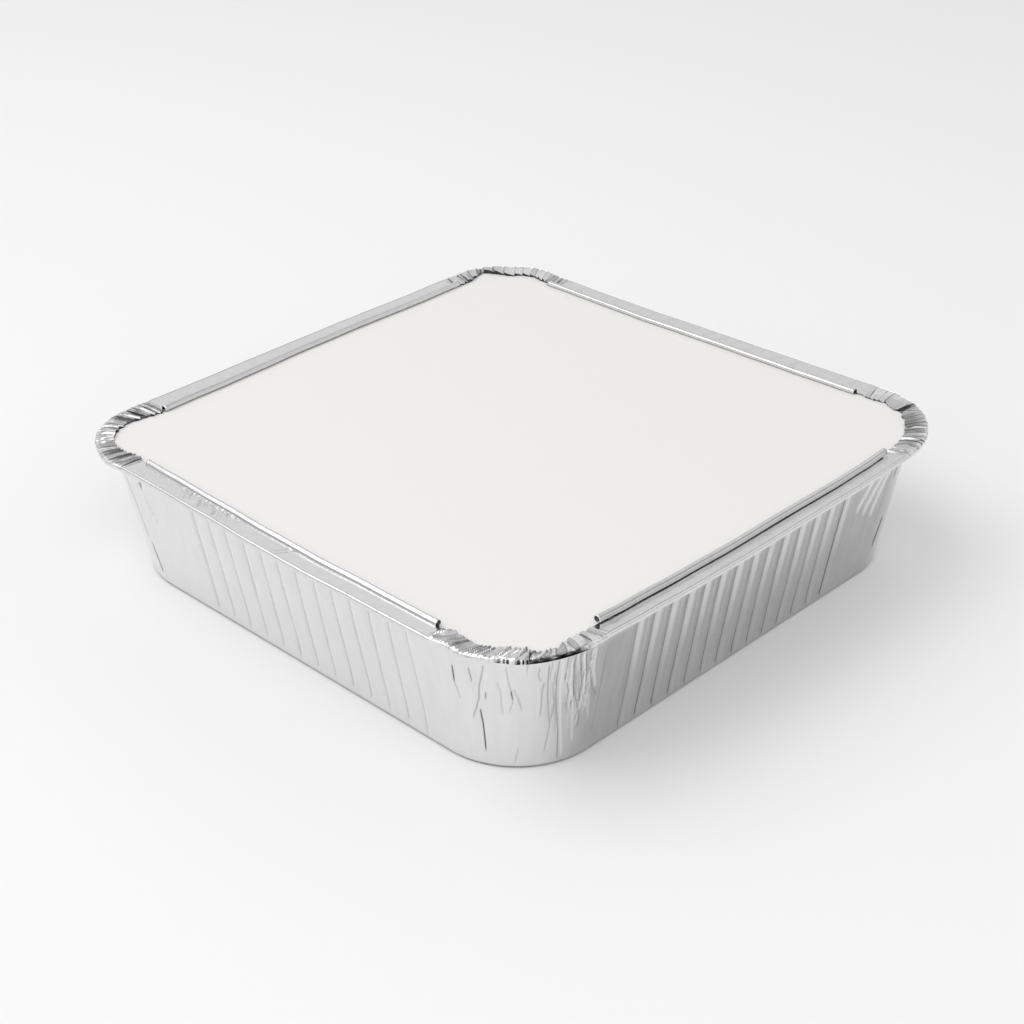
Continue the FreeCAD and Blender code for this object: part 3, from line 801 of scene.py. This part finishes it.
def pleat_form(corner, angle, f):
    """How far the gathered lip rises, and its shade, along one row across the lip."""
    start, slant, height, up_to, crown, painted_shade, line = pleat_lines(corner)
    line_width = PLEATS[corner][-1]
    edges = start + slant * (f - 0.5)
    k = np.clip(np.searchsorted(edges, angle, side="right") - 1, 0, len(edges) - 2)
    t = np.clip((angle - edges[k]) / (edges[k + 1] - edges[k]), 0, 1)
    ramp_up = np.where(up_to[k] > 0, t, 1 - t)
    taper = 0.35 + 0.65 * smooth(0.0, 0.5, f)
    rise = taper * (height[k] * ramp_up + 1.6 * crown[k] * t * (1 - t))
    near = np.minimum(angle - edges[k], edges[k + 1] - angle)
    which = np.where(angle - edges[k] < edges[k + 1] - angle, k, k + 1)
    shade = painted_shade[k] * (1 - 0.4 * t) + line[which] * band(near, 0, line_width)
    for place, depth, width, tilt in SLITS[corner]:
        mark = band(angle - place - 6 * tilt * (f - 0.5), 0, width * 2.0)
        rise = rise - depth * mark
        # Painted shade in the slit.
        shade = np.maximum(shade, 1.3 * mark - 0.3)
    return rise, shade


rises = {corner: pleat_form(corner, np.arange(90.0), 1.0)[0].max() for corner in PLEATS}
print("pleats rise by up to", round(max(rises.values()), 2), "mm")

# %% [markdown]
# ## Strip
# Along the sides the lip is a flat strip that slopes down a little to its bead. On the
# side at the left of the view it has fine curved ripples, where the tool dragged the
# foil, and a kink near its middle. A bump map could show them from one side only, so
# they are true waves in the mesh.

# %% Shape the strip
STRIP_FALL = {"right": 1.05, "back": 0.75, "left": 0.65, "front": 0.4}
# Painted shade of each side's strip; below zero, as on the left and front, it is painted light.
STRIP_PAINTED_SHADE = {"right": 0.0, "back": 0.02, "left": -0.12, "front": -0.25}
# How shaded the strip is where it runs under its bead.
UNDER_BEAD = {"right": 0.9, "back": 0.3, "left": 0.3, "front": 0.0}


def drag_ripples(w, f):
    """The ripples of the front strip: height and shade to add."""
    bent = w + 4.5 * f + 2.5 * f**2 + 0.5 * np.sin(w * 0.7)
    rows = np.sin(bent * CYCLE / 2.1 + 1.3 * np.sin(bent * 0.9)) + 0.6 * np.sin(bent * CYCLE / 1.15)
    near = smooth(-56, -44, w) * smooth(-14, -26, w)
    far = smooth(-72, -64, w) * smooth(72, 60, w) * (1 - near)
    kink = band(w - 5 - 4 * f, 0, 1.3)
    rise = (0.10 * near + 0.035 * far) * rows - 0.25 * kink
    # Painted shade on the ripples, and a soft band of painted shade near the kink.
    shade = near * (0.02 + 0.14 * np.clip(rows - 0.3, 0, 2)) + 0.03 * far * rows
    return rise, shade + 0.10 * band(w + 1 - 3 * f, 0, 4.5)


def strip_form(side, w, f):
    """How far the strip rises, along a side and across the lip, and its shade."""
    rise = 0.05 * waves(40 + SIDES.index(side), w, f * 8, 25, 14, 5)
    shade = STRIP_PAINTED_SHADE[side] * smooth(0, 0.1, f) + 0.03 * waves(50 + SIDES.index(side), w, f * 8, 6, 40, 6)
    if side == "front":
        ripples, painted_shade = drag_ripples(w, f)
        rise, shade = rise + ripples, shade + painted_shade
    shade = shade + UNDER_BEAD[side] * smooth(0.86, 0.9, f)
    if side == "right":
        # A small dent in the right strip, with painted shade in it.
        dimple = band(w + 70.5 - 2 * f, 0, 1.8) * band(f, 0.6, 0.3)
        rise, shade = rise - 0.1 * dimple, shade + 0.15 * dimple
    return rise, shade


print("strip slopes down by", STRIP_FALL, "mm")

# %% [markdown]
# ## Fold of the rim
# The rim is one sheet that runs all the way round: up from the ledge, over a fold and in
# over the board. Drawing it as a loop of rows keeps the pleats and the strips joined,
# as they are in the real foil. At the corner that faces the camera the fold isn't
# pressed shut, which leaves a slot under the pleats, with ragged teeth at one end, and
# painted shade makes the slot dark. Along the sides the top of the fold gets a painted
# highlight and the crease behind it painted shade.

# %% Shape the fold
# Each row of the fold: how far in from the edge, how high, and how shaded.
FOLD_ROWS = [
    (0.10, 49.40, 0.0),
    (-0.10, 49.46, 0.0),
    (-0.12, 49.60, 0.0),
    (-0.06, 50.00, 0.0),
    (0.02, 50.40, 0.0),
    (0.12, 50.60, 0.0),
    (0.45, 50.95, -0.3),
    (0.55, 51.00, 0.0),
    (0.62, 50.94, 0.8),
    (0.70, 50.94, 0.8),
    (0.80, 50.97, 0.0),
]
SLOT_DEPTH = 0.8
SIDE_STEP = {"front": 0.3, "right": 0.6, "back": 0.6, "left": 0.6}
ANGLE_STEP = 0.18


def rim_places(side):
    """The rim's columns along a side and round its corner, and a share for the pleats."""
    angle = np.arange(0, 90, ANGLE_STEP)
    blend = smooth(0, 2.5, angle) * smooth(90, 87.5, angle)
    return np.arange(-TURN, TURN, SIDE_STEP[side]), angle, blend


def fold_slot(side, angle):
    """How far the fold is left open, by angle round a corner."""
    if side != "front":
        return 0 * angle
    teeth = (0.5 + 0.5 * np.sin(angle * CYCLE / 2.7 + 2.4 * np.sin(angle * 0.8))) ** 1.6
    open_end = smooth(45, 52, angle) * smooth(80, 70, angle)
    return np.maximum(open_end, 0.9 * teeth * smooth(30, 40, angle) * smooth(60, 50, angle))


def fold_part(quarter):
    """The rows of one side's fold and of the fold under the pleats after it."""
    side = SIDES[quarter]
    w, angle, blend = rim_places(side)
    jag = 0.20 * waves(60 + quarter, angle, 0 * angle, 4, 1, 8) * blend
    slot = fold_slot(side, angle)
    folds, painted_shade = pleat_form(side, angle, 0.0)
    rows, shades = [], []
    for reach, height, tone in FOLD_ROWS:
        lift = smooth(49.5, 50.9, height)
        below_top = smooth(50.8, 50.55, height)
        open_by = slot * smooth(49.4, 49.6, height) * below_top
        in_shade = slot * smooth(49.42, 49.46, height) * below_top
        inward = reach + SLOT_DEPTH * open_by - jag * lift
        edge = rim_point(quarter, w, False, np.full_like(w, reach), height + 0 * w)
        bend = rim_point(quarter, angle, True, inward, height + 0.6 * lift * (folds - 0.25) * blend)
        rows.append(np.concatenate([edge, bend]))
        # Painted light and shade of the fold round a corner: the pleats' own, painted brighter outside the
        # slot, and painted shade inside it.
        fold_shade = (painted_shade - 0.3 * (1 - slot)) * lift * blend + (1.1 + 1.5 * jag) * in_shade
        shades.append(np.concatenate([tone + 0 * w, tone * (1 - blend) + fold_shade]))
    return rows, shades


open_share = (fold_slot("front", rim_places("front")[1]) > 0.5).mean()
print("the slot is open over", round(90 * open_share), "degrees")

# %% [markdown]
# ## Lip of the rim
# From the fold the lip runs in over the board: a strip along each side, pleats round
# each corner. The back corner's pleats were pulled up a little, so a small table lifts
# their inner edge. Two more rows turn that edge down to the board, which closes the
# pleats' open fronts; round the corners both rows carry painted shade, as a painted
# shadow in the gap under the pleats' edge.

# %% Build the rim
LIP_START, LIP_TOP, OVER_BOARD_Z = 0.8, 50.97, 50.04
LIP_LIFT = {
    "right": [(6, 0), (20, -0.1), (66, -0.1), (88, 0)],
    "back": [
        (4, 0), (12, 0.55), (20, 0.3), (38, 0.2), (48, 0.35), (57, 0.85), (66, 0.25), (76, 0.5), (86, 0),
    ],
    "left": [(6, 0), (20, 0.1), (66, 0.05), (88, 0)],
    "front": [(6, 0), (20, -0.15), (66, -0.15), (88, 0)],
}
# Rows across the lip, as shares of its width.
LIP_ROWS = np.array([0.05, 0.1, 0.18, 0.27, 0.36, 0.45, 0.54, 0.63, 0.72, 0.8, 0.86, 0.9, 0.95, 1.0])


def lip_part(quarter):
    """The rows of one side's strip and of the pleats after it."""
    side, ahead = SIDES[quarter], SIDES[(quarter + 1) % 4]
    w, angle, blend = rim_places(side)
    strip_width, lip = table(LIP_WIDTH[side], w), table(LIP_WIDTH[side + "_corner"], angle)
    fall = STRIP_FALL[side] + (STRIP_FALL[ahead] - STRIP_FALL[side]) * smooth(0, 90, angle)
    rows, shades = [], []
    for f in LIP_ROWS:
        tuck = 0.30 * smooth(0.9, 1.0, f)
        strip, strip_shade = strip_form(side, w, np.full_like(w, f))
        height = LIP_TOP - STRIP_FALL[side] * f + strip * smooth(1, 0.8, f) * smooth(0, 0.15, f)
        edge = rim_point(quarter, w, False, LIP_START + (strip_width - LIP_START) * f, height - tuck)
        folds, painted_shade = pleat_form(side, angle, f)
        ragged = 0.35 * waves(80 + quarter, angle, 0 * angle, 4, 1, 7) * f**3
        level = LIP_TOP - fall * f + table(LIP_LIFT[side], angle) * smooth(0.3, 1, f)
        inward = LIP_START + (lip - LIP_START + ragged * blend) * f
        bend = rim_point(quarter, angle, True, inward, level + folds * blend - tuck * (1 - blend))
        rows.append(np.concatenate([edge, bend]))
        shades.append(np.concatenate([strip_shade, painted_shade * blend]))
    # Round the corners both rows carry painted shade, as a painted shadow under the pleats' edge.
    hem = rim_point(quarter, angle, True, inward, level + (folds - 0.12) * blend - tuck * (1 - blend))
    under = rim_point(quarter, angle, True, inward - FOIL * blend, np.full_like(angle, OVER_BOARD_Z))
    for flap in (hem, under):
        rows.append(np.concatenate([edge, flap]))
        shades.append(np.concatenate([strip_shade, blend]))
    return rows, shades


quarters = []
for quarter in range(4):
    (fold_points, fold_shades), (lip_points, lip_shades) = fold_part(quarter), lip_part(quarter)
    quarters.append((np.stack(fold_points + lip_points), np.stack(fold_shades + lip_shades)))
add_sheet(
    "folded_rim",
    np.concatenate([points for points, _ in quarters], axis=1),
    np.concatenate([shade for _, shade in quarters], axis=1),
    closed=True,
    sharp=32,
)

# %% [markdown]
# ## Beads
# Each side's lip ends in a rolled bead, a small open tube that stiffens the edge. It is
# rolled from the same foil: it starts under the lip, goes in and over, and stops just
# above the strip, so a thin dark gap stays along its outer side. A curve with a round
# bevel would close that gap, so the roll is drawn as rows round an open arc. At each end
# the tube is open and dark, so its last columns turn in and are shaded.

# %% Note the size of each bead
# For each side: both ends, height over width, how far down its outer face goes, the
# depth of the crease along it, where that is, and whether its top is pressed flat.
BEADS = {
    "right": (-73.5, 74.5, 0.92, 0.62, 0.20, 222, False),
    "back": (-72.6, 80.6, 0.80, 0.85, 0.03, 222, False),
    "left": (-78.0, 77.0, 0.95, 0.85, 0.06, 222, False),
    "front": (-73.0, 74.0, 0.90, 0.90, 0.12, 260, True),
}
BEAD_RADIUS, BEAD_FOOT_Z, BEAD_FOIL = 1.18, 50.06, 0.08
# Degrees round the roll: where its outer face starts and ends, and its flat top.
FACE_AT, FACE_END = 262, 320
FLAT_AT, FLAT_HALF = 222, 34
CREASE_HALF = 9
MIDDLE_COLUMNS, ROLL_ROWS = 220, 41
# Across an open end: how far in along the tube, share of the radius, and shade.
END_COLUMNS = [(0.9, 0.08, 1.0), (0.8, 0.78, 1.0), (0.10, 0.86, 1.0), (0.0, 0.93, 0.2)]


def bead_columns(low, high):
    """Places along one bead, with the share of the radius and the shade at each."""
    middle = [(at, 1.0, 0.0) for at in np.linspace(low, high, MIDDLE_COLUMNS)]
    start = [(low + along, share, tone) for along, share, tone in END_COLUMNS]
    end = [(high - along, share, tone) for along, share, tone in END_COLUMNS[::-1]]
    return np.array(start + middle + end).T


print("columns along a bead:", bead_columns(*BEADS["front"][:2]).shape[1])

# %% [markdown]
# ## Rolling the beads
# The rows go round the roll from its foot, in under the lip, to the end of its outer
# face. The last rows run straight down instead of on round the circle, because the foil
# springs open a little. The bead at the left of the view was pressed flat on top, which
# gives it the second bright line.

# %% Build the beads


def bead_sheet(quarter):
    """The rolled edge of one side."""
    side = SIDES[quarter]
    low, high, squash, face, crease, crease_at, pressed = BEADS[side]
    w, share, dark = bead_columns(low, high)
    middle_line = table(LIP_WIDTH[side], w) + 0.08 * waves(100 + quarter, w, 0 * w, 60, 1, 4)
    outline = RIM_HALF + table(RIM_OUT[side], w)
    ragged = 0.10 * waves(120 + quarter, w, 0 * w, 3, 1, 5) * (share < 1)
    rows, shades = [], []
    for degrees in np.linspace(0, FACE_END, ROLL_ROWS):
        a = np.radians(min(degrees, FACE_AT) - 90)
        down = max(degrees - FACE_AT, 0) / (FACE_END - FACE_AT)
        line = band(degrees, crease_at, CREASE_HALF)
        from_flat = abs(degrees - FLAT_AT)
        flat = 1.0
        if pressed and from_flat < FLAT_HALF:
            flat = np.cos(np.radians(FLAT_HALF)) / np.cos(np.radians(from_flat))
        radius = BEAD_RADIUS * (share * flat - crease * line) + ragged
        inward = middle_line + radius * (np.cos(a) - 0.08 * down)
        height = BEAD_FOOT_Z + squash * (BEAD_RADIUS + radius * (np.sin(a) - (face + 0.14) * down))
        rows.append(about_z(np.stack([outline - inward, w, height], -1), quarter))
        # Painted shade along the bead's crease, and on the underside of the roll by the board, strongest on
        # the left side.
        below = (0.8 if side == "left" else 0.3) * smooth(60, 25, degrees)
        shades.append(np.maximum(dark, 2.6 * crease * line + below))
    add_sheet("bead_" + side, np.stack(rows), np.stack(shades), closed=False, thickness=BEAD_FOIL)


for quarter in range(4):
    bead_sheet(quarter)
print("beads are", [round(end - start, 1) for start, end, *_ in BEADS.values()], "mm long")
